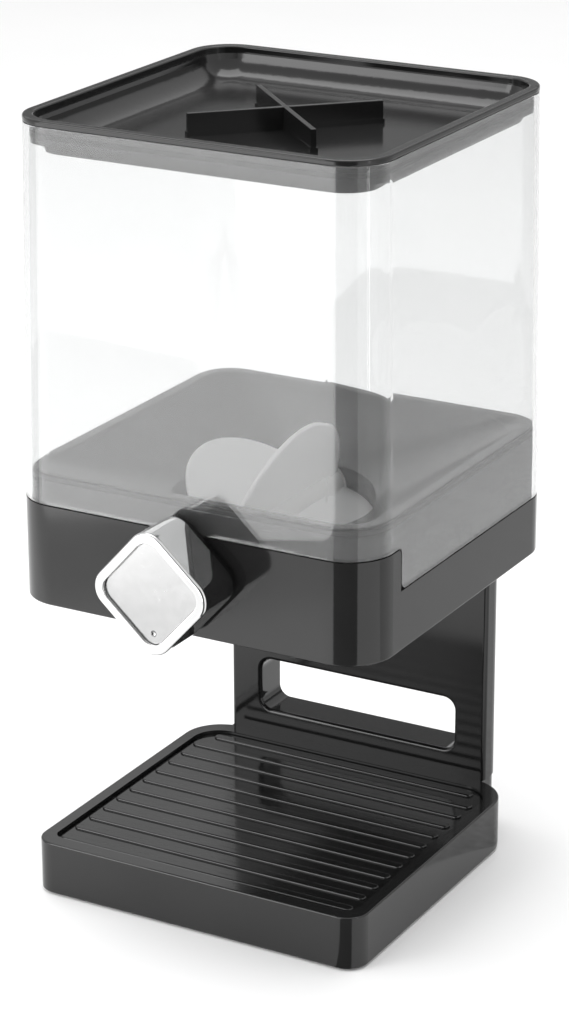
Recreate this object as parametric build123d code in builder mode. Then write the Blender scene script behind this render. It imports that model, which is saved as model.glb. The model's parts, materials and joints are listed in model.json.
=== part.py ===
"""Countertop cereal dispenser with a turning knob, as an assembly of separate pieces.

Millimetres, +Z up. The origin is on the ground, under the middle of the overall box. The knob
faces -Y and the column stands at +Y. Sketches are drawn about the canister's own centre line,
which the planes level() and facing() place.
"""
from build123d import *
from math import cos, radians, sin
import os

os.makedirs("parts", exist_ok=True)

# ---------------------------------------------------------------- driving dimensions
total_height = 394.0            # ground to the top of the lid rim
canister_side = 196.0           # square plan of the canister at the housing
canister_top_side = 189.6       # the walls lean in a little towards the top
canister_wall = 2.8
corner_radius = 23.0
knob_front = -129.0             # y of the knob's front ring, from the canister's centre line
canister_back = canister_side / 2
centre_y = -(knob_front + canister_back) / 2

base_bottom = 1.2
base_top = 28.4
base_width = 183.0
base_front_y = -96.0
base_front_radius = 11.0
base_rear_radius = 21.5
base_wall = 2.6

column_width = 150.0
column_y = 73.2
column_depth = 20.6
column_wall = 2.4
column_front_radius = 2.2
column_rear_radius = 12.5
column_back_y = column_y + column_depth

housing_bottom = 157.2
housing_front_top = 208.0
housing_side_top = 187.0
housing_wall = 2.6
housing_floor = housing_bottom + housing_wall
step_y = -67.2                  # where the housing's tall front steps down along each side
seam_gap = 0.7                  # shadow line between the canister and the housing

axis_z = 188.0                  # height of the knob's and wheel's axis
wheel_y = -9.0                  # middle of the paddle wheel
paddle_radius = 51.0
chamber_radius = 52.0
chamber_wall = 2.2

hopper_side = 189.4
hopper_top = 223.3
canister_top = 391.0

screw_head_radius = 2.9
screw_head_height = 1.5
screw_shank_radius = 1.25
boss_radius = 3.4
pilot_radius = 1.3
clearance_radius = 1.6


# ---------------------------------------------------------------- shared helpers
standing = (Align.CENTER, Align.CENTER, Align.MIN)
hung = (Align.CENTER, Align.CENTER, Align.MAX)


def level(z):
    """Horizontal sketch plane at height z, centred on the canister's centre line."""
    return Plane(origin=(0, centre_y, z), x_dir=(1, 0, 0), z_dir=(0, 0, 1))


def facing(y, z=0.0):
    """Upright sketch plane that looks to the front: local x is +X and local y is +Z."""
    return Plane(origin=(0, centre_y + y, z), x_dir=(1, 0, 0), z_dir=(0, -1, 0))


def spot(x, y, z, outward):
    """Plane at a point of the canister-centred frame, its normal along outward."""
    x_dir = (0, 1, 0) if abs(outward[0]) > 0.5 else (1, 0, 0)
    return Plane(origin=(x, centre_y + y, z), x_dir=x_dir, z_dir=outward)


def mirrored(points):
    """The points, and the same points on the other side of the middle plane."""
    return [(x * side, y) for x, y in points for side in (-1, 1)]


def pan_screw(length):
    """Self-tapping pan-head screw: head above its seat at z = 0, shank below."""
    with BuildPart() as screw:
        Cylinder(screw_head_radius, screw_head_height, align=standing)
        fillet(screw.edges().group_by(Axis.Z)[-1], 0.7)
        with BuildSketch(Plane.XY.offset(screw_head_height)):
            Rectangle(3.2, 0.7)
            Rectangle(0.7, 3.2)
        extrude(amount=-0.8, mode=Mode.SUBTRACT)
        Cylinder(screw_shank_radius, length, align=hung)
        chamfer(screw.edges().group_by(Axis.Z)[0], 0.6)
    return screw.part


def plan(width, front, back, front_radius, rear_radius):
    """Rectangle from front to back in y, with its front and rear corners rounded apart."""
    with BuildSketch() as outline:
        with Locations((0, (front + back) / 2)):
            Rectangle(width, back - front)
        fillet(outline.vertices().group_by(Axis.Y)[0], front_radius)
        fillet(outline.vertices().group_by(Axis.Y)[-1], rear_radius)
    return outline.sketch


def tray_plan(inset):
    """Plan of the base's tray part, drawn inset inside its outer face."""
    return plan(base_width - 2 * inset, base_front_y + inset, column_y - inset,
                base_front_radius - inset, base_rear_radius - inset)


neck_slack = 0.6                # the neck is this much inside the column's faces
neck_front_y = 60.0


def neck_plan(inset):
    """Plan of the narrow part of the base under the column."""
    return plan(column_width - 2 * (neck_slack + inset), neck_front_y, column_back_y - neck_slack - inset,
                0.5, column_rear_radius - neck_slack - inset)


def column_plan(inset):
    """Plan of the column, drawn inset inside its outer face."""
    return plan(column_width - 2 * inset, column_y + inset, column_back_y - inset,
                max(column_front_radius - inset, 0.4), column_rear_radius - inset)


# ---------------------------------------------------------------- base
recess_depth = 5.0
recess_width = 169.6
recess_front_y = -87.6
recess_rear_y = 64.2
recess_front_radius = 5.0
recess_rear_radius = 15.0
recess_floor = base_top - recess_depth
deck_bottom = recess_floor - 2.4
neck_roof = 2.6
plate_thickness = 2.4
plate_top = base_bottom + plate_thickness
neck_clear_y = column_y + 2.4
tray_boss_points = mirrored([(78, -83), (78, 46)])
neck_boss_points = mirrored([(45, 84)])
foot_screw_points = mirrored([(66, 82), (22, 84)])

with BuildPart() as base_shell:
    with BuildSketch(level(base_bottom)):
        add(tray_plan(0))
        add(neck_plan(0))
    extrude(amount=base_top - base_bottom)
    top_rim = base_shell.faces().sort_by(Axis.Z)[-1].outer_wire().edges()
    fillet(top_rim.filter_by(lambda e: e.center().Y < centre_y + column_y - 1), 0.9)
    foot_rim = base_shell.faces().sort_by(Axis.Z)[0].outer_wire().edges()
    fillet(foot_rim, 0.8)
    with BuildSketch(level(base_top)):
        add(plan(recess_width, recess_front_y, recess_rear_y, recess_front_radius, recess_rear_radius))
    extrude(amount=-recess_depth, mode=Mode.SUBTRACT)
    with BuildSketch(level(base_bottom)):
        add(tray_plan(base_wall))
        add(neck_plan(base_wall))
    extrude(amount=deck_bottom - base_bottom, mode=Mode.SUBTRACT)
    with BuildSketch(level(deck_bottom)):
        add(plan(column_width - 2 * (neck_slack + base_wall), neck_clear_y,
                 column_back_y - neck_slack - base_wall, 0.5, 9.0))
    extrude(amount=base_top - neck_roof - deck_bottom, mode=Mode.SUBTRACT)
    with BuildSketch(level(plate_top)):
        with Locations(*tray_boss_points):
            Circle(boss_radius)
            Circle(pilot_radius, mode=Mode.SUBTRACT)
    extrude(amount=deck_bottom - plate_top)
    with BuildSketch(level(plate_top)):
        with Locations(*neck_boss_points):
            Circle(boss_radius)
            Circle(pilot_radius, mode=Mode.SUBTRACT)
    extrude(amount=base_top - neck_roof - plate_top)
    with BuildSketch(level(base_top)):
        with Locations(*foot_screw_points):
            Circle(clearance_radius)
    extrude(amount=-neck_roof, mode=Mode.SUBTRACT)
base_shell.part.label = "base_shell"
export_step(base_shell.part, "parts/base_shell.step")

# Bottom plate, let into the underside of the base, with a seat for each foot pad.
foot_radius = 8.0
foot_height = 2.0
foot_points = mirrored([(70, -74), (62, 62)])
plate_inset = base_wall + 0.25

with BuildPart() as base_plate:
    with BuildSketch(level(base_bottom)):
        add(tray_plan(plate_inset))
        add(neck_plan(plate_inset))
    extrude(amount=plate_thickness)
    with BuildSketch(level(base_bottom)):
        with Locations(*foot_points):
            Circle(foot_radius + 0.2)
    extrude(amount=foot_height - base_bottom, mode=Mode.SUBTRACT)
    with Locations(*[spot(x, y, base_bottom, (0, 0, -1)) for x, y in tray_boss_points + neck_boss_points]):
        CounterBoreHole(clearance_radius, screw_head_radius + 0.3, screw_head_height)
base_plate.part.label = "base_plate"
export_step(base_plate.part, "parts/base_plate.step")

with BuildPart() as base_plate_screws:
    seat_z = base_bottom + screw_head_height
    with Locations(*[spot(x, y, seat_z, (0, 0, -1)) for x, y in tray_boss_points + neck_boss_points]):
        add(pan_screw(9.0))
base_plate_screws.part.label = "base_plate_screws"
export_step(base_plate_screws.part, "parts/base_plate_screws.step")

for number, (x, y) in enumerate(foot_points, start=1):
    with BuildPart() as foot:
        with BuildSketch(Plane.XY):
            with Locations((x, centre_y + y)):
                Circle(foot_radius)
        extrude(amount=foot_height)
        fillet(foot.edges().group_by(Axis.Z)[0], 0.6)
    foot.part.label = f"foot_{number}"
    export_step(foot.part, f"parts/foot_{number}.step")

# Crumb tray: a loose plate in the base's recess, with rows of low rounded ribs.
tray_gap = 0.5
tray_top = 26.6
rib_count = 12
rib_pitch = 12.8
rib_width = 5.0
rib_height = 1.1
rib_length = 164.6
rear_rib_length = 153.0         # clears the tray's rounded rear corners
first_rib_y = -83.3


def rounded_rib(length):
    """Low rib along x with round ends and a rounded top, standing on z = 0."""
    with BuildPart() as rib:
        with BuildSketch(Plane.XY):
            SlotOverall(length, rib_width)
        extrude(amount=rib_height)
        fillet(rib.edges().group_by(Axis.Z)[-1], 0.9)
    return rib.part


with BuildPart() as crumb_tray:
    with BuildSketch(level(recess_floor)):
        add(plan(recess_width - 2 * tray_gap, recess_front_y + tray_gap, recess_rear_y - tray_gap,
                 recess_front_radius - tray_gap, recess_rear_radius - tray_gap))
    extrude(amount=tray_top - recess_floor)
    fillet(crumb_tray.faces().sort_by(Axis.Z)[-1].outer_wire().edges(), 0.5)
    with Locations(*[(0, centre_y + first_rib_y + n * rib_pitch, tray_top) for n in range(rib_count - 1)]):
        add(rounded_rib(rib_length))
    with Locations((0, centre_y + first_rib_y + (rib_count - 1) * rib_pitch, tray_top)):
        add(rounded_rib(rear_rib_length))
crumb_tray.part.label = "crumb_tray"
export_step(crumb_tray.part, "parts/crumb_tray.step")

# ---------------------------------------------------------------- column
handle_width = 114.4
handle_bottom = 41.5
handle_top = 70.3
handle_radius = 6.5
handle_height = handle_top - handle_bottom
handle_z = (handle_top + handle_bottom) / 2
sleeve_wall = 2.2
end_plate = 2.5
cover_width = 124.4
cover_bottom = 34.0
cover_top = 152.0
cover_gap = 0.25
cover_z = (cover_top + cover_bottom) / 2
cover_screw_points = mirrored([(48, 100.0), (48, 144.0), (24, 80.0)])
top_screw_points = mirrored([(56, 84), (20, 84)])

with BuildPart() as column_front:
    with BuildSketch(level(base_top)):
        add(column_plan(0))
    extrude(amount=housing_bottom - base_top)
    with BuildSketch(level(base_top + end_plate)):
        add(column_plan(column_wall))
    extrude(amount=housing_bottom - base_top - 2 * end_plate, mode=Mode.SUBTRACT)
    with BuildSketch(facing(column_back_y, handle_z)):
        RectangleRounded(handle_width + 2 * sleeve_wall, handle_height + 2 * sleeve_wall,
                         handle_radius + sleeve_wall)
    extrude(amount=column_depth - 0.5)
    with BuildSketch(facing(column_back_y - column_wall)):
        with Locations(*cover_screw_points):
            Circle(boss_radius)
    extrude(amount=column_depth - 2 * column_wall)
    with BuildSketch(facing(column_back_y - column_wall)):
        with Locations(*cover_screw_points):
            Circle(pilot_radius)
    extrude(amount=column_depth - 2 * column_wall - 2, mode=Mode.SUBTRACT)
    with BuildSketch(level(base_top + end_plate)):
        with Locations(*foot_screw_points):
            Circle(boss_radius)
    extrude(amount=handle_bottom - sleeve_wall - base_top - end_plate)
    with BuildSketch(level(housing_bottom - end_plate)):
        with Locations(*top_screw_points):
            Circle(boss_radius + 0.4)
    extrude(amount=-11.0)
    with BuildSketch(level(base_top)):
        with Locations(*foot_screw_points):
            Circle(pilot_radius)
    extrude(amount=9.0, mode=Mode.SUBTRACT)
    with BuildSketch(level(housing_bottom)):
        with Locations(*top_screw_points):
            Circle(pilot_radius)
    extrude(amount=-11.0, mode=Mode.SUBTRACT)
    with BuildSketch(facing(column_back_y, handle_z)):
        RectangleRounded(handle_width, handle_height, handle_radius)
    extrude(amount=column_depth, mode=Mode.SUBTRACT)
    with BuildSketch(facing(column_back_y)):
        with Locations((0, cover_z)):
            RectangleRounded(cover_width, cover_top - cover_bottom, 4.0)
        with Locations((0, handle_z)):
            RectangleRounded(handle_width + 2 * sleeve_wall, handle_height + 2 * sleeve_wall,
                             handle_radius + sleeve_wall, mode=Mode.SUBTRACT)
    extrude(amount=column_wall, mode=Mode.SUBTRACT)
    handle_mouth = column_front.faces().filter_by(Axis.Y).sort_by(Axis.Y)[0].inner_wires()[0].edges()
    fillet(handle_mouth, 2.0)
column_front.part.label = "column_front"
export_step(column_front.part, "parts/column_front.step")

with BuildPart() as column_cover:
    with BuildSketch(facing(column_back_y)):
        with Locations((0, cover_z)):
            RectangleRounded(cover_width - 2 * cover_gap, cover_top - cover_bottom - 2 * cover_gap, 3.75)
        with Locations((0, handle_z)):
            RectangleRounded(handle_width + 2 * (sleeve_wall + cover_gap),
                             handle_height + 2 * (sleeve_wall + cover_gap),
                             handle_radius + sleeve_wall + cover_gap, mode=Mode.SUBTRACT)
    extrude(amount=column_wall)
    with Locations(*[spot(x, column_back_y, z, (0, 1, 0)) for x, z in cover_screw_points]):
        CounterBoreHole(clearance_radius, screw_head_radius + 0.3, screw_head_height)
column_cover.part.label = "column_cover"
export_step(column_cover.part, "parts/column_cover.step")

with BuildPart() as column_cover_screws:
    seat_y = column_back_y - screw_head_height
    with Locations(*[spot(x, seat_y, z, (0, 1, 0)) for x, z in cover_screw_points]):
        add(pan_screw(11.0))
column_cover_screws.part.label = "column_cover_screws"
export_step(column_cover_screws.part, "parts/column_cover_screws.step")

with BuildPart() as column_foot_screws:
    with Locations(*[spot(x, y, base_top - neck_roof, (0, 0, -1)) for x, y in foot_screw_points]):
        add(pan_screw(10.0))
column_foot_screws.part.label = "column_foot_screws"
export_step(column_foot_screws.part, "parts/column_foot_screws.step")

# ---------------------------------------------------------------- housing and chute
slot_half_width = 8.5
chute_hole_radius = 47.0
chute_screw_circle = 55.0
step_radius = 4.0
step_lip_radius = 3.0
reach = 130.0                   # long enough to cut right across the housing

with BuildPart() as housing:
    with BuildSketch(level(housing_bottom)):
        RectangleRounded(canister_side, canister_side, corner_radius)
    extrude(amount=housing_front_top - housing_bottom)
    fillet(housing.faces().sort_by(Axis.Z)[0].outer_wire().edges(), 1.0)
    with BuildSketch(level(housing_floor)):
        inner_side = canister_side - 2 * housing_wall
        RectangleRounded(inner_side, inner_side, corner_radius - housing_wall)
    extrude(amount=housing_front_top - housing_floor, mode=Mode.SUBTRACT)
    with BuildSketch(Plane(origin=(-reach, centre_y, 0), x_dir=(0, 1, 0), z_dir=(1, 0, 0))) as side_step:
        with Locations((step_y, housing_side_top)):
            Rectangle(reach * 2, 60, align=(Align.MIN, Align.MIN))
        fillet(side_step.vertices().group_by(Axis.Z)[0].sort_by(Axis.Y)[0], step_radius)
    extrude(amount=2 * reach, mode=Mode.SUBTRACT)
    step_lip = housing.edges().filter_by(Axis.X).filter_by(
        lambda e: abs(e.center().Y - centre_y - step_y) < 0.01 and e.center().Z > housing_front_top - 0.01)
    fillet(step_lip, step_lip_radius)
    with BuildSketch(level(housing_bottom)):
        with Locations((0, wheel_y)):
            Circle(chute_hole_radius)
    extrude(amount=housing_wall, mode=Mode.SUBTRACT)
    with BuildSketch(level(housing_floor)):
        with Locations((0, wheel_y)):
            with PolarLocations(chute_screw_circle, 3, start_angle=90):
                Circle(boss_radius)
    extrude(amount=5.0)
    with BuildSketch(level(housing_bottom)):
        with Locations((0, wheel_y)):
            with PolarLocations(chute_screw_circle, 3, start_angle=90):
                Circle(pilot_radius)
    extrude(amount=housing_wall + 4.0, mode=Mode.SUBTRACT)
    with BuildSketch(level(housing_bottom)):
        with Locations(*top_screw_points):
            Circle(clearance_radius)
    extrude(amount=housing_wall, mode=Mode.SUBTRACT)
    with BuildSketch(facing(0)):
        with Locations((0, axis_z)):
            Circle(slot_half_width)
            Rectangle(2 * slot_half_width, 40, align=(Align.CENTER, Align.MIN))
    extrude(amount=reach, mode=Mode.SUBTRACT)
housing.part.label = "housing"
export_step(housing.part, "parts/housing.step")

with BuildPart() as housing_screws:
    with Locations(*[spot(x, y, housing_floor, (0, 0, 1)) for x, y in top_screw_points]):
        add(pan_screw(12.0))
housing_screws.part.label = "housing_screws"
export_step(housing_screws.part, "parts/housing_screws.step")

chute_flange = 2.4
chute_flange_radius = 60.0
chute_mouth_radius = 31.0
chute_mouth_z = 132.0
chute_wall = 2.2
chute_shoulder_z = 150.0
chute_inner_radius = 46.4

with BuildPart() as outlet_chute:
    with BuildSketch(facing(wheel_y)):
        with BuildLine():
            Polyline((chute_inner_radius, housing_bottom),
                     (chute_flange_radius, housing_bottom),
                     (chute_flange_radius, housing_bottom - chute_flange),
                     (chute_inner_radius + chute_wall, housing_bottom - chute_flange),
                     (chute_inner_radius + chute_wall, chute_shoulder_z),
                     (chute_mouth_radius + chute_wall, chute_mouth_z),
                     (chute_mouth_radius, chute_mouth_z),
                     (chute_inner_radius, chute_shoulder_z),
                     close=True)
        make_face()
    revolve(axis=Axis((0, centre_y + wheel_y, 0), (0, 0, 1)))
    with BuildSketch(level(housing_bottom)):
        with Locations((0, wheel_y)):
            with PolarLocations(chute_screw_circle, 3, start_angle=90):
                Circle(clearance_radius)
    extrude(amount=-chute_flange, mode=Mode.SUBTRACT)
outlet_chute.part.label = "outlet_chute"
export_step(outlet_chute.part, "parts/outlet_chute.step")

chute_screw_points = [(chute_screw_circle * cos(radians(a)), wheel_y + chute_screw_circle * sin(radians(a)))
                      for a in (90, 210, 330)]
with BuildPart() as chute_screws:
    with Locations(*[spot(x, y, housing_bottom - chute_flange, (0, 0, -1)) for x, y in chute_screw_points]):
        add(pan_screw(8.0))
chute_screws.part.label = "chute_screws"
export_step(chute_screws.part, "parts/chute_screws.step")

# ---------------------------------------------------------------- canister
front_edge = housing_front_top + seam_gap
side_edge = housing_side_top + seam_gap
inner_side = canister_side - 2 * canister_wall
inner_top_side = canister_top_side - 2 * canister_wall
top_radius = corner_radius - 1.5

with BuildPart() as canister:
    with BuildSketch(level(front_edge)):
        RectangleRounded(canister_side, canister_side, corner_radius)
    with BuildSketch(level(canister_top)):
        RectangleRounded(canister_top_side, canister_top_side, top_radius)
    loft()
    with BuildSketch(level(side_edge)):
        RectangleRounded(canister_side, canister_side, corner_radius)
    extrude(amount=front_edge - side_edge)
    with BuildSketch(level(front_edge)):
        RectangleRounded(inner_side, inner_side, corner_radius - canister_wall)
    with BuildSketch(level(canister_top)):
        RectangleRounded(inner_top_side, inner_top_side, top_radius - canister_wall)
    loft(mode=Mode.SUBTRACT)
    with BuildSketch(level(side_edge)):
        RectangleRounded(inner_side, inner_side, corner_radius - canister_wall)
    extrude(amount=front_edge - side_edge, mode=Mode.SUBTRACT)
    with BuildSketch(Plane(origin=(-reach, centre_y, 0), x_dir=(0, 1, 0), z_dir=(1, 0, 0))) as front_cut:
        with Locations((step_y + seam_gap, front_edge)):
            Rectangle(reach, 60, align=(Align.MAX, Align.MAX))
        fillet(front_cut.vertices().group_by(Axis.Z)[-1].sort_by(Axis.Y)[-1], step_lip_radius)
    extrude(amount=2 * reach, mode=Mode.SUBTRACT)
    tongue_corner = canister.edges().filter_by(Axis.X).filter_by(
        lambda e: e.center().Z < side_edge + 0.01 and e.center().Y < centre_y + step_y + 1)
    fillet(tongue_corner, step_radius)
    rim_edges = canister.edges().group_by(Axis.Z)[-1]
    fillet(rim_edges, 0.5)
canister.part.label = "canister"
export_step(canister.part, "parts/canister.step")

# ---------------------------------------------------------------- hopper and its seal
hopper_radius = 19.7
hopper_wall = 2.0
funnel_top_side = 176.0
funnel_top_radius = 15.0
funnel_under_side = 170.6
funnel_under_radius = 24.0
throat_z = 199.0
throat_edge_z = throat_z - 2.6
throat_flat = 0.3               # half the short straight run between the throat's corner arcs
outlet_radius = 36.0
bush_radius = 8.4
bush_flange_radius = 10.0
bush_flange = 1.0
chamber_front_y = wheel_y - chamber_radius
chamber_back_y = wheel_y + chamber_radius
boss_reach = 6.0
shaft_radius = 6.0
shaft_passage_radius = 9.0
shoulder_z = 220.0              # the seal stands on this shoulder, round the hopper's lip
lip_side = 186.4
lip_radius = 18.2
seal_height = 2.6

with BuildPart() as hopper:
    with BuildSketch(level(housing_floor)):
        RectangleRounded(hopper_side, hopper_side, hopper_radius)
        RectangleRounded(hopper_side - 2 * hopper_wall, hopper_side - 2 * hopper_wall,
                         hopper_radius - hopper_wall, mode=Mode.SUBTRACT)
    extrude(amount=shoulder_z - housing_floor)
    fillet(hopper.faces().sort_by(Axis.Z)[-1].outer_wire().edges(), 0.9)
    with BuildSketch(level(shoulder_z - 1.8)):
        RectangleRounded(lip_side, lip_side, lip_radius)
    extrude(amount=hopper_top - shoulder_z + 1.8)
    with BuildSketch(level(shoulder_z - 1.2)):
        RectangleRounded(funnel_under_side, funnel_under_side, funnel_under_radius)
    with BuildSketch(level(throat_edge_z)):
        with Locations((0, wheel_y)):
            neck_side = 2 * (chamber_radius + chamber_wall)
            RectangleRounded(neck_side, neck_side, neck_side / 2 - throat_flat)
    loft()
    with Locations(spot(0, wheel_y, axis_z, (0, 0, 1))):
        Cylinder(chamber_radius + chamber_wall, throat_edge_z - axis_z + 0.5, align=standing)
        Sphere(chamber_radius + chamber_wall, arc_size1=-90, arc_size2=0, align=hung)
    with BuildSketch(facing(chamber_front_y + 6, axis_z)):
        Circle(bush_radius + 3)
    extrude(amount=boss_reach + 6)
    with BuildSketch(facing(chamber_back_y + boss_reach, axis_z)):
        Circle(bush_radius + 3)
    extrude(amount=boss_reach + 6)
    with BuildSketch(level(hopper_top)):
        RectangleRounded(funnel_top_side, funnel_top_side, funnel_top_radius)
    with BuildSketch(level(throat_z)):
        with Locations((0, wheel_y)):
            RectangleRounded(2 * chamber_radius, 2 * chamber_radius, chamber_radius - throat_flat)
    loft(mode=Mode.SUBTRACT)
    with Locations(spot(0, wheel_y, axis_z, (0, 0, 1))):
        Cylinder(chamber_radius, throat_z - axis_z + 0.5, align=standing, mode=Mode.SUBTRACT)
        Sphere(chamber_radius, arc_size1=-90, arc_size2=0, align=hung, mode=Mode.SUBTRACT)
        Cylinder(outlet_radius, 60, align=hung, mode=Mode.SUBTRACT)
    with BuildSketch(facing(chamber_back_y + boss_reach + 1, axis_z)):
        Circle(bush_radius)
    extrude(amount=chamber_back_y - chamber_front_y + 2 * boss_reach + 2, mode=Mode.SUBTRACT)
    with BuildSketch(facing(chamber_back_y + 0.2, axis_z)):
        Circle(bush_flange_radius + 0.3)
    extrude(amount=chamber_back_y - chamber_front_y + 0.4, mode=Mode.SUBTRACT)
    with BuildSketch(facing(-hopper_side / 2 + 4, axis_z)):
        Circle(shaft_passage_radius)
    extrude(amount=6, mode=Mode.SUBTRACT)
    fillet(hopper.faces().sort_by(Axis.Z)[-1].edges(), 0.8)
hopper.part.label = "hopper"
export_step(hopper.part, "parts/hopper.step")

seal_side = inner_side - 0.8
with BuildPart() as hopper_seal:
    with BuildSketch(level(shoulder_z)):
        RectangleRounded(seal_side, seal_side, hopper_radius + 0.4)
        RectangleRounded(lip_side, lip_side, lip_radius, mode=Mode.SUBTRACT)
    extrude(amount=seal_height)
    fillet(hopper_seal.faces().sort_by(Axis.Z)[-1].outer_wire().edges(), 0.8)
hopper_seal.part.label = "hopper_seal"
export_step(hopper_seal.part, "parts/hopper_seal.step")

# ---------------------------------------------------------------- bushes, wheel and shaft
tip_radius = 4.0
running_gap = 0.06

with BuildPart() as front_bush:
    with BuildSketch(facing(chamber_front_y - 0.2, axis_z)):
        Circle(bush_radius)
    extrude(amount=boss_reach - 0.2)
    with BuildSketch(facing(chamber_front_y - 0.2 + bush_flange, axis_z)):
        Circle(bush_flange_radius)
    extrude(amount=bush_flange)
    with BuildSketch(facing(chamber_front_y + 2, axis_z)):
        Circle(shaft_radius + running_gap)
    extrude(amount=boss_reach + 4, mode=Mode.SUBTRACT)
front_bush.part.label = "front_bush"
export_step(front_bush.part, "parts/front_bush.step")

with BuildPart() as rear_bush:
    with BuildSketch(facing(chamber_back_y + boss_reach, axis_z)):
        Circle(bush_radius)
    extrude(amount=boss_reach - 0.2)
    with BuildSketch(facing(chamber_back_y + 0.2, axis_z)):
        Circle(bush_flange_radius)
    extrude(amount=bush_flange)
    with BuildSketch(facing(chamber_back_y + boss_reach, axis_z)):
        Circle(tip_radius + running_gap)
    extrude(amount=boss_reach + 4, mode=Mode.SUBTRACT)
rear_bush.part.label = "rear_bush"
export_step(rear_bush.part, "parts/rear_bush.step")

paddle_count = 5
first_paddle_angle = 71.5
paddle_thickness = 2.6
paddle_root = 6.6
hub_radius = 9.0
hub_front_y = wheel_y - 50.6
hub_back_y = wheel_y + 50.6
square_side = 8.4
square_gap = 0.12
paddle_angles = [first_paddle_angle + n * 360 / paddle_count for n in range(paddle_count)]


def paddle_plane(angle):
    """Plane of a paddle: local x runs along the axle and local y runs outward at angle."""
    a = radians(angle)
    return Plane(origin=(0, centre_y + wheel_y, axis_z), x_dir=(0, 1, 0), z_dir=(sin(a), 0, -cos(a)))


with BuildPart() as wheel_hub:
    with BuildSketch(facing(hub_back_y, axis_z)):
        Circle(hub_radius)
        Rectangle(square_side + 2 * square_gap, square_side + 2 * square_gap, mode=Mode.SUBTRACT)
    extrude(amount=hub_back_y - hub_front_y)
    for angle in paddle_angles:
        with BuildSketch(paddle_plane(angle)):
            with Locations((0, paddle_root)):
                Rectangle(hub_back_y - hub_front_y + 2, hub_radius, align=(Align.CENTER, Align.MIN))
        extrude(amount=paddle_thickness / 2, both=True, mode=Mode.SUBTRACT)
wheel_hub.part.label = "wheel_hub"
export_step(wheel_hub.part, "parts/wheel_hub.step")

for number, angle in enumerate(paddle_angles, start=1):
    with BuildPart() as paddle:
        with BuildSketch(paddle_plane(angle)):
            Circle(paddle_radius)
            with Locations((0, paddle_root)):
                Rectangle(3 * paddle_radius, 2 * paddle_radius, align=(Align.CENTER, Align.MAX),
                          mode=Mode.SUBTRACT)
        extrude(amount=paddle_thickness / 2, both=True)
        fillet(paddle.edges().filter_by(GeomType.CIRCLE), 1.0)
    paddle.part.label = f"paddle_{number}"
    export_step(paddle.part, f"parts/paddle_{number}.step")

knob_back_y = -99.3
shaft_front_y = -121.0
square_start_y = hub_front_y - 0.3
tip_start_y = hub_back_y - 0.6
tip_end_y = chamber_back_y + boss_reach

with BuildPart() as drive_shaft:
    with BuildSketch(facing(square_start_y, axis_z)):
        Circle(shaft_radius)
    extrude(amount=square_start_y - shaft_front_y)
    with BuildSketch(facing(tip_start_y, axis_z)):
        Rectangle(square_side, square_side)
    extrude(amount=tip_start_y - square_start_y)
    with BuildSketch(facing(tip_end_y, axis_z)):
        Circle(tip_radius)
    extrude(amount=tip_end_y - tip_start_y)
    chamfer(drive_shaft.edges().group_by(Axis.Y)[-1], 0.8)
    with BuildSketch(facing(shaft_front_y + 14, axis_z)):
        Circle(pilot_radius)
    extrude(amount=16, mode=Mode.SUBTRACT)
drive_shaft.part.label = "drive_shaft"
export_step(drive_shaft.part, "parts/drive_shaft.step")

# ---------------------------------------------------------------- knob
knob_side = 48.5
knob_radius = 10.5
knob_turn = 48.0                # the square knob rests on its corner, turned a little further
cap_back_y = -104.0
cap_wall = 1.4
cap_front_wall = 4.2
ring_width = 4.6
plate_side = knob_side - 2 * ring_width
plate_recess = 3.0
knob_plate_thickness = 1.2
core_front_y = knob_front + cap_front_wall
collar_side = knob_side - 2.4


def knob_square(side, radius):
    """Rounded square of the knob, turned to its rest angle."""
    return RectangleRounded(side, side, radius, rotation=knob_turn)


with BuildPart() as knob_cap:
    with BuildSketch(facing(cap_back_y, axis_z)):
        knob_square(knob_side, knob_radius)
    extrude(amount=cap_back_y - knob_front)
    fillet(knob_cap.faces().sort_by(Axis.Y)[0].edges(), 1.5)
    with BuildSketch(facing(cap_back_y, axis_z)):
        knob_square(knob_side - 2 * cap_wall, knob_radius - cap_wall)
    extrude(amount=cap_back_y - core_front_y, mode=Mode.SUBTRACT)
    with BuildSketch(facing(knob_front, axis_z)):
        knob_square(plate_side, knob_radius - ring_width + 1.2)
    extrude(amount=-plate_recess, mode=Mode.SUBTRACT)
    fillet(knob_cap.faces().sort_by(Axis.Y)[0].inner_wires()[0].edges(), 0.6)
    with BuildSketch(facing(core_front_y, axis_z)):
        Circle(4.0)
    extrude(amount=cap_front_wall, mode=Mode.SUBTRACT)
knob_cap.part.label = "knob_cap"
export_step(knob_cap.part, "parts/knob_cap.step")

plate_gap = 0.15
dimple_radius = 1.9
dimple_lift = 1.0
with BuildPart() as knob_plate:
    with BuildSketch(facing(knob_front + plate_recess, axis_z)):
        knob_square(plate_side - 2 * plate_gap, knob_radius - ring_width + 1.0)
    extrude(amount=knob_plate_thickness)
    fillet(knob_plate.faces().sort_by(Axis.Y)[0].edges(), 0.4)
    dimple_angle = radians(knob_turn - 135)
    dimple_reach = plate_side * 0.5
    plate_face_y = knob_front + plate_recess - knob_plate_thickness
    with Locations(spot(dimple_reach * cos(dimple_angle), plate_face_y - dimple_lift,
                        axis_z + dimple_reach * sin(dimple_angle), (0, -1, 0))):
        Sphere(dimple_radius, mode=Mode.SUBTRACT)
knob_plate.part.label = "knob_plate"
export_step(knob_plate.part, "parts/knob_plate.step")

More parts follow.
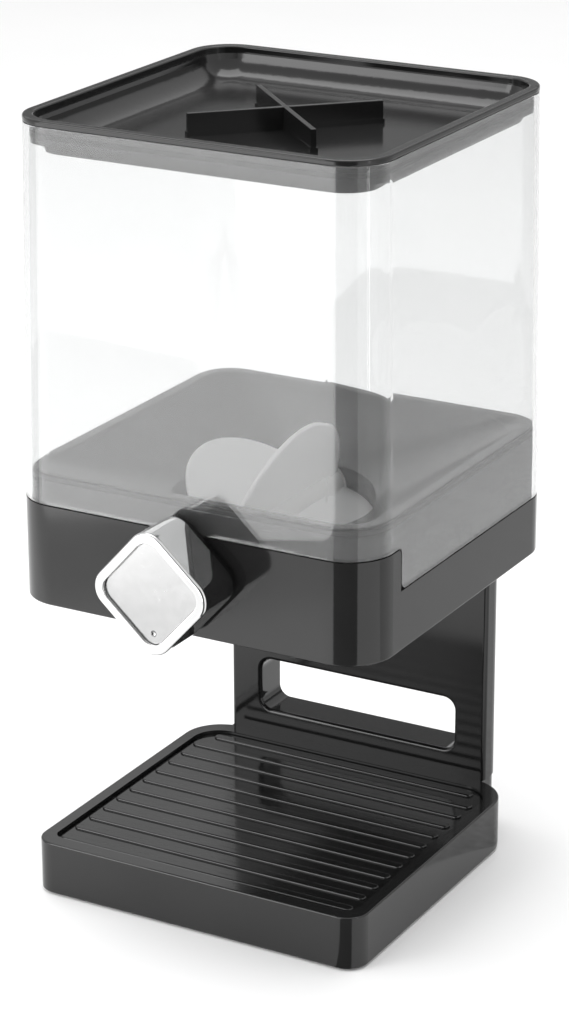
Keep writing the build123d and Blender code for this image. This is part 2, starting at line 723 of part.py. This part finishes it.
with BuildPart() as knob_core:
    with BuildSketch(facing(cap_back_y, axis_z)):
        knob_square(knob_side - 2 * cap_wall - 0.1, knob_radius - cap_wall - 0.05)
    extrude(amount=cap_back_y - core_front_y)
    with BuildSketch(facing(knob_back_y, axis_z)):
        knob_square(collar_side, knob_radius - 1.2)
    extrude(amount=knob_back_y - cap_back_y)
    fillet(knob_core.faces().sort_by(Axis.Y)[-1].edges(), 0.8)
    with BuildSketch(facing(knob_back_y, axis_z)):
        Circle(shaft_radius)
    extrude(amount=knob_back_y - shaft_front_y, mode=Mode.SUBTRACT)
    with BuildSketch(facing(knob_back_y, axis_z)):
        Circle(clearance_radius)
    extrude(amount=knob_back_y - core_front_y, mode=Mode.SUBTRACT)
    with BuildSketch(facing(core_front_y, axis_z)):
        Circle(screw_head_radius + 0.3)
    extrude(amount=-screw_head_height - 0.2, mode=Mode.SUBTRACT)
knob_core.part.label = "knob_core"
export_step(knob_core.part, "parts/knob_core.step")

with BuildPart() as knob_screw:
    with Locations(spot(0, core_front_y + screw_head_height + 0.2, axis_z, (0, -1, 0))):
        add(pan_screw(14.0))
knob_screw.part.label = "knob_screw"
export_step(knob_screw.part, "parts/knob_screw.step")

# ---------------------------------------------------------------- lid
lid_side = 190.0
lid_radius = 21.7
rim_width = 5.0
lid_floor_z = 379.0
lid_sheet = 2.0
ledge_z = 390.6
ledge_width = 1.6
skirt_bottom = 381.8
skirt_side = inner_top_side - 0.8
skirt_wall = 1.8
pan_side = lid_side - 2 * (rim_width + ledge_width)
floor_side = 170.0
floor_blend = 13.5
floor_radius = 14.5

with BuildPart() as lid:
    with BuildSketch(level(canister_top)):
        RectangleRounded(lid_side, lid_side, lid_radius)
    extrude(amount=total_height - canister_top)
    fillet(lid.edges().filter_by(lambda e: abs(e.center().Z - (total_height + canister_top) / 2) > 1), 1.0)
    with BuildSketch(level(skirt_bottom)):
        RectangleRounded(skirt_side, skirt_side, lid_radius - 3.2)
        RectangleRounded(skirt_side - 2 * skirt_wall, skirt_side - 2 * skirt_wall,
                         lid_radius - 3.2 - skirt_wall, mode=Mode.SUBTRACT)
    extrude(amount=canister_top - skirt_bottom)
    with BuildSketch(level(canister_top)):
        RectangleRounded(pan_side + 2 * lid_sheet, pan_side + 2 * lid_sheet, 17.0)
    with BuildSketch(level(lid_floor_z - lid_sheet)):
        RectangleRounded(floor_side + 2, floor_side + 2, floor_radius + 1)
    loft()
    with BuildSketch(level(total_height)):
        RectangleRounded(lid_side - 2 * rim_width, lid_side - 2 * rim_width, lid_radius - rim_width + 1)
    extrude(amount=ledge_z - total_height, mode=Mode.SUBTRACT)
    with BuildSketch(level(ledge_z)):
        RectangleRounded(pan_side, pan_side, 15.5)
    with BuildSketch(level(lid_floor_z)):
        RectangleRounded(floor_side, floor_side, floor_radius)
    loft(mode=Mode.SUBTRACT)
    inner_rim = lid.faces().sort_by(Axis.Z)[-1].inner_wires()[0].edges()
    fillet(inner_rim, 1.0)
    floor_edges = lid.edges().filter_by(lambda e: abs(e.center().Z - lid_floor_z) < 0.01)
    fillet(floor_edges, floor_blend)
lid.part.label = "lid"
export_step(lid.part, "parts/lid.step")

blade_length = 95.5
blade_thickness = 2.5
blade_top = 390.0
blade_foot = 2.2
blade_foot_thickness = 3.7

with BuildPart() as lid_grip:
    for turn in (45, -45):
        with BuildSketch(level(lid_floor_z)):
            Rectangle(blade_length, blade_thickness, rotation=turn)
        extrude(amount=blade_top - lid_floor_z)
        with BuildSketch(level(lid_floor_z)):
            Rectangle(blade_length + 1.2, blade_foot_thickness, rotation=turn)
        extrude(amount=blade_foot)
    fillet(lid_grip.faces().sort_by(Axis.Z)[-1].edges(), 0.45)
lid_grip.part.label = "lid_grip"
export_step(lid_grip.part, "parts/lid_grip.step")

lid_seal_bottom = 385.0
lid_seal_height = 2.4
with BuildPart() as lid_seal:
    with BuildSketch(level(lid_seal_bottom)):
        RectangleRounded(skirt_side + 0.35, skirt_side + 0.35, lid_radius - 3.1)
        RectangleRounded(skirt_side, skirt_side, lid_radius - 3.2, mode=Mode.SUBTRACT)
    extrude(amount=lid_seal_height)
lid_seal.part.label = "lid_seal"
export_step(lid_seal.part, "parts/lid_seal.step")
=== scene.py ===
"""Looks, light and camera for the cereal dispenser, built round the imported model."""
import json
import math

import bpy
from mathutils import Matrix, Vector

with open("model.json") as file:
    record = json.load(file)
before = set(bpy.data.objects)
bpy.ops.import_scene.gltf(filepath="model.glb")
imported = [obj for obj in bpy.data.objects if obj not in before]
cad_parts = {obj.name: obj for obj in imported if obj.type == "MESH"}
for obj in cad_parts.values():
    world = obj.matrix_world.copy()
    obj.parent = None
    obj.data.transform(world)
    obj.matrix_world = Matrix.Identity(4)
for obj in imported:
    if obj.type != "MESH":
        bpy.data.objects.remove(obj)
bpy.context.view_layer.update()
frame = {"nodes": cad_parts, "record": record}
scene = bpy.context.scene
nodes = frame["nodes"]

NOISE_LOW, NOISE_HIGH = 0.3, 0.7  # the middle range in which a noise texture mostly lies


# ---------------------------------------------------------------- material helpers
class Shader:
    """A material being built: its node tree, its Principled shader and its object coordinates."""

    def __init__(self, name):
        self.material = bpy.data.materials.new(name)
        self.material.use_nodes = True
        self.tree = self.material.node_tree
        self.tree.nodes.clear()
        self.out = self.tree.nodes.new("ShaderNodeOutputMaterial")
        self.surface = self.tree.nodes.new("ShaderNodeBsdfPrincipled")
        self.join(self.surface, "BSDF", self.out, "Surface")
        self.place = self.tree.nodes.new("ShaderNodeTexCoord")

    def join(self, source, output, target, socket):
        self.tree.links.new(source.outputs[output], target.inputs[socket])

    def set(self, **values):
        """Sets the shader's own sockets; underscores in a name stand for spaces."""
        for name, value in values.items():
            self.surface.inputs[name.replace("_", " ")].default_value = value

    def noise(self, scale, detail=4.0, roughness=0.55, stretch=(1, 1, 1)):
        """Noise in object coordinates; scale is in features per metre."""
        mapping = self.tree.nodes.new("ShaderNodeMapping")
        mapping.inputs["Scale"].default_value = stretch
        self.join(self.place, "Object", mapping, "Vector")
        noise = self.tree.nodes.new("ShaderNodeTexNoise")
        noise.inputs["Scale"].default_value = scale
        noise.inputs["Detail"].default_value = detail
        noise.inputs["Roughness"].default_value = roughness
        self.join(mapping, "Vector", noise, "Vector")
        return noise

    def spread(self, noise, low, high):
        """Maps a noise's middle range to low ... high."""
        span = self.tree.nodes.new("ShaderNodeMapRange")
        span.inputs["From Min"].default_value = NOISE_LOW
        span.inputs["From Max"].default_value = NOISE_HIGH
        span.inputs["To Min"].default_value = low
        span.inputs["To Max"].default_value = high
        self.join(noise, "Fac", span, "Value")
        return span

    def tint(self, noise, dark, light):
        """Lets the base colour wander between two colours with the noise."""
        ramp = self.tree.nodes.new("ShaderNodeValToRGB")
        ramp.color_ramp.elements[0].position = NOISE_LOW
        ramp.color_ramp.elements[1].position = NOISE_HIGH
        ramp.color_ramp.elements[0].color = (*dark, 1)
        ramp.color_ramp.elements[1].color = (*light, 1)
        self.join(noise, "Fac", ramp, "Fac")
        self.join(ramp, "Color", self.surface, "Base Color")

    def rough(self, noise, low, high):
        """Lets the roughness wander between two values with the noise."""
        self.join(self.spread(noise, low, high), "Result", self.surface, "Roughness")

    def bump(self, *layers):
        """Stacks layers of (noise, height in metres) into the shader's normal."""
        below = None
        for noise, height in layers:
            bump = self.tree.nodes.new("ShaderNodeBump")
            bump.inputs["Distance"].default_value = height
            bump.inputs["Strength"].default_value = 1.0
            self.join(noise, "Fac", bump, "Height")
            if below:
                self.join(below, "Normal", bump, "Normal")
            below = bump
        self.join(below, "Normal", self.surface, "Normal")


def grey(value, warm=0.0):
    """Linear grey, moved a little towards red where warm is over 0."""
    return (value * (1 + warm), value, value * (1 - warm))


def moulded(name, dark, light, rough, warm=0.0, grain=900.0, grain_height=6e-6):
    """Injection-moulded plastic: slow shrinkage waves, fine skin grain and handling smudges.

    dark and light are greys, tinted by warm, and rough is the lowest and highest roughness.
    grain is in features per metre and grain_height is in metres.
    """
    shader = Shader(name)
    shader.tint(shader.noise(22, 5), grey(dark, warm), grey(light, warm))
    shader.rough(shader.noise(14, 6, 0.65), *rough)
    shader.bump((shader.noise(9.0, 1.5), 4e-5), (shader.noise(grain, 2), grain_height))
    shader.set(IOR=1.5)
    return shader.material


black_gloss = moulded("black_gloss", 0.011, 0.015, (0.07, 0.12))
# Painted shade: a darker copy of the gloss black, for the column front and the knob core.
black_shaded = moulded("black_shaded", 0.006, 0.009, (0.07, 0.12))
# Painted shade and a rougher finish: darker than the gloss black, for the lid and its grip.
black_lid = moulded("black_lid", 0.008, 0.011, (0.12, 0.18))
black_satin = moulded("black_satin", 0.011, 0.015, (0.16, 0.24), grain_height=3e-6)
# Painted shade and a little more roughness: darker than the gloss black, for the crumb tray.
black_tray = moulded("black_tray", 0.007, 0.010, (0.09, 0.14))
black_matte = moulded("black_matte", 0.014, 0.020, (0.42, 0.56), grain_height=2e-5)
white_plastic = moulded("white_plastic", 0.72, 0.80, (0.35, 0.45), warm=0.01)

# Clear wall: slow moulding waves and a trace of haze.
clear = Shader("clear_wall")
clear.rough(clear.noise(30, 5), 0.0, 0.03)
clear.bump((clear.noise(6, 1.0, stretch=(1, 1, 0.5)), 3e-5), (clear.noise(60, 2), 5e-7))
clear.set(Base_Color=(0.87, 0.875, 0.875, 1), IOR=1.49, Transmission_Weight=0.97)
clear_wall = clear.material

# Silicone blades: milky, and soft to the light.
soft = Shader("silicone_blade")
soft.tint(soft.noise(35, 4), grey(0.94, 0.003), grey(0.965, 0.002))
soft.rough(soft.noise(60, 4), 0.36, 0.52)
soft.bump((soft.noise(40, 2), 6e-5), (soft.noise(1400, 2), 8e-6))
soft.set(IOR=1.42, Subsurface_Weight=0.35)
soft.set(Subsurface_Radius=(0.004, 0.004, 0.004), Subsurface_Scale=1.0)
silicone_blade = soft.material

# Bright chrome over slightly wavy plastic.
plating = Shader("chrome_plate")
plating.tint(plating.noise(30, 4), grey(0.70), grey(0.76))
plating.rough(plating.noise(80, 5), 0.02, 0.05)
plating.bump((plating.noise(25, 1), 3e-5))
plating.set(Metallic=1.0)
chrome_plate = plating.material

# Satin silver face with a fine grain.
silver = Shader("silver_plate")
silver.tint(silver.noise(50, 5), grey(0.41), grey(0.45))
silver.rough(silver.noise(300, 6, 0.7), 0.18, 0.28)
silver.bump((silver.noise(2500, 2), 4e-6))
silver.set(Metallic=1.0)
silver_plate = silver.material

# Zinc-plated screws, mottled and a little rough.
steel = Shader("zinc_steel")
steel.tint(steel.noise(400, 6), grey(0.50), grey(0.68))
steel.rough(steel.noise(700, 5), 0.25, 0.45)
steel.bump((steel.noise(2000, 3), 1e-5))
steel.set(Metallic=1.0)
zinc_steel = steel.material

pad = moulded("rubber_pad", 0.030, 0.048, (0.65, 0.82), grain=1500, grain_height=3e-5)
seal = moulded("black_seal", 0.010, 0.015, (0.35, 0.5), grain=800, grain_height=1e-5)

LOOKS = {
    "black_plastic": black_gloss,
    "black_satin": black_satin,
    "black_matte": black_matte,
    "clear_plastic": clear_wall,
    "silicone": silicone_blade,
    "white_plastic": white_plastic,
    "chrome_plate": chrome_plate,
    "silver_plate": silver_plate,
    "steel": zinc_steel,
    "rubber_pad": pad,
    "black_seal": seal,
}
# Pieces given darker blacks than their material slot, as painted shade; the lid's and the tray's
# also differ in roughness.
LOOK_AND_PAINTED_SHADE = {
    "lid": black_lid,
    "lid_grip": black_lid,
    "crumb_tray": black_tray,
    "column_front": black_shaded,
    "knob_core": black_shaded,
}


def dress(obj, material):
    """Gives every slot of an object one material."""
    if not obj.data.materials:
        obj.data.materials.append(material)
    for slot in obj.material_slots:
        slot.material = material


for subpart in frame["record"]["subparts"]:
    node = subpart["node"]
    dress(nodes[node], LOOK_AND_PAINTED_SHADE.get(node, LOOKS[subpart["material_slot"]]))


# ---------------------------------------------------------------- stage and light
FLOOR_SIZE = 30.0
ROOM_BRIGHTNESS = 0.92
FLAG_STEPS = 24
FLAG_FOOT = 0.0006  # the flags' ground parts lie this far above the floor

floor_shader = Shader("pale_floor")
floor_shader.tint(floor_shader.noise(3, 3), grey(0.92), grey(0.94))
floor_shader.rough(floor_shader.noise(8, 4), 0.75, 0.85)
bpy.ops.mesh.primitive_plane_add(size=FLOOR_SIZE, location=(0, 0, 0))
floor = bpy.context.object
floor.name = "floor"
dress(floor, floor_shader.material)

world = bpy.data.worlds.new("studio")
scene.world = world
world.use_nodes = True
background = world.node_tree.nodes["Background"]
background.inputs["Color"].default_value = (1.0, 1.0, 1.0, 1)
background.inputs["Strength"].default_value = ROOM_BRIGHTNESS


def softbox(name, place, aim, width, height, radiance):
    """Rectangular area light at place that faces aim; radiance is relative to the white room."""
    light = bpy.data.lights.new(name, "AREA")
    light.shape = "RECTANGLE"
    light.size = width
    light.size_y = height
    light.energy = radiance * math.pi * width * height
    lamp = bpy.data.objects.new(name, light)
    lamp.location = place
    lamp.rotation_mode = "QUATERNION"
    lamp.rotation_quaternion = (Vector(aim) - Vector(place)).to_track_quat("-Z", "Y")
    lamp.visible_camera = False
    scene.collection.objects.link(lamp)


softbox("overhead", (-0.2, 0.3, 1.9), (0, 0, 0.2), 1.6, 1.2, 3.2)
softbox("key", (-0.75, -1.05, 0.85), (0, 0.1, 0.39), 0.5, 0.67, 4.0)
softbox("front_left_panel", (-0.221, -0.474, 0.20), (0, -0.0825, 0.20), 0.6, 0.30, 2.0)
softbox("right_strip", (0.98, -0.29, 0.45), (0.075, -0.06, 0.30), 0.04, 0.9, 4.5)


def flag(name, centre, start, stop, rows, shade):
    """Studio flag: a curved screen seen only in reflections, for example a wall and its floor.

    It stands round centre, from azimuth start to stop in degrees to the right of the front, and
    its rows are (radius, height) points from its inner or lower edge to its outer or upper one.
    """
    points = []
    for step in range(FLAG_STEPS + 1):
        a = math.radians(start + (stop - start) * step / FLAG_STEPS)
        points += [(centre[0] + math.sin(a) * r, centre[1] - math.cos(a) * r, z) for r, z in rows]
    faces = []
    for step in range(FLAG_STEPS):
        for row in range(len(rows) - 1):
            first = step * len(rows) + row
            faces.append((first, first + 1, first + 1 + len(rows), first + len(rows)))
    mesh = bpy.data.meshes.new(name)
    mesh.from_pydata(points, [], faces)
    screen = bpy.data.objects.new(name, mesh)
    scene.collection.objects.link(screen)
    felt = Shader(name + "_cloth")
    felt.tint(felt.noise(200, 4), grey(shade * 0.8), grey(shade * 1.2))
    felt.rough(felt.noise(90, 3), 0.8, 0.95)
    dress(screen, felt.material)
    for ray in ("camera", "diffuse", "transmission", "volume_scatter", "shadow"):
        setattr(screen, "visible_" + ray, False)


BLACK_FLAG = [(0.005, FLAG_FOOT), (1.3, FLAG_FOOT), (1.3, 1.1)]  # dark corner of the front
GREY_FLAG = [(0.12, FLAG_FOOT), (4.0, FLAG_FOOT), (4.0, 0.02)]   # even tone on the right wall
BACK_FLAG = [(4.0, 0.90), (4.0, 1.75)]                           # keeps the lid's pan dark
TRAY_FLAG = [(1.6, 0.60), (1.6, 1.00)]                           # keeps the tray's right side dark
flag("black_flag", (0.080, -0.072), -8, 48, BLACK_FLAG, 0.04)
flag("grey_flag", (0, 0), 95, 165, GREY_FLAG, 0.62)
flag("back_flag", (0, 0), 130, 250, BACK_FLAG, 0.25)
flag("tray_flag", (0, 0), 185, 211, TRAY_FLAG, 0.25)


# ---------------------------------------------------------------- camera
EYE = (0.7240, -1.2716, 0.7328)
AZIMUTH, ELEVATION, ROLL = 29.4, 20.2, -0.2
LENS, SENSOR = 113.8, 36.0


def photo_camera():
    """Camera at EYE, looking down by ELEVATION from AZIMUTH degrees right of the front."""
    a, e, r = (math.radians(v) for v in (AZIMUTH, ELEVATION, ROLL))
    back = Vector((math.sin(a) * math.cos(e), -math.cos(a) * math.cos(e), math.sin(e)))
    right = Vector((math.cos(a), math.sin(a), 0.0))
    up = back.cross(right)
    turned_right = right * math.cos(r) + up * math.sin(r)
    turned_up = up * math.cos(r) - right * math.sin(r)
    camera = bpy.data.objects.new("camera", bpy.data.cameras.new("camera"))
    camera.data.lens = LENS
    camera.data.sensor_width = SENSOR
    camera.data.sensor_fit = "AUTO"
    camera.data.clip_start, camera.data.clip_end = 0.05, 60
    turn = Matrix((turned_right, turned_up, back)).transposed().to_4x4()
    camera.matrix_world = Matrix.Translation(EYE) @ turn
    scene.collection.objects.link(camera)
    return camera


scene.camera = photo_camera()
scene.view_settings.view_transform = "Standard"
scene.view_settings.look = "None"
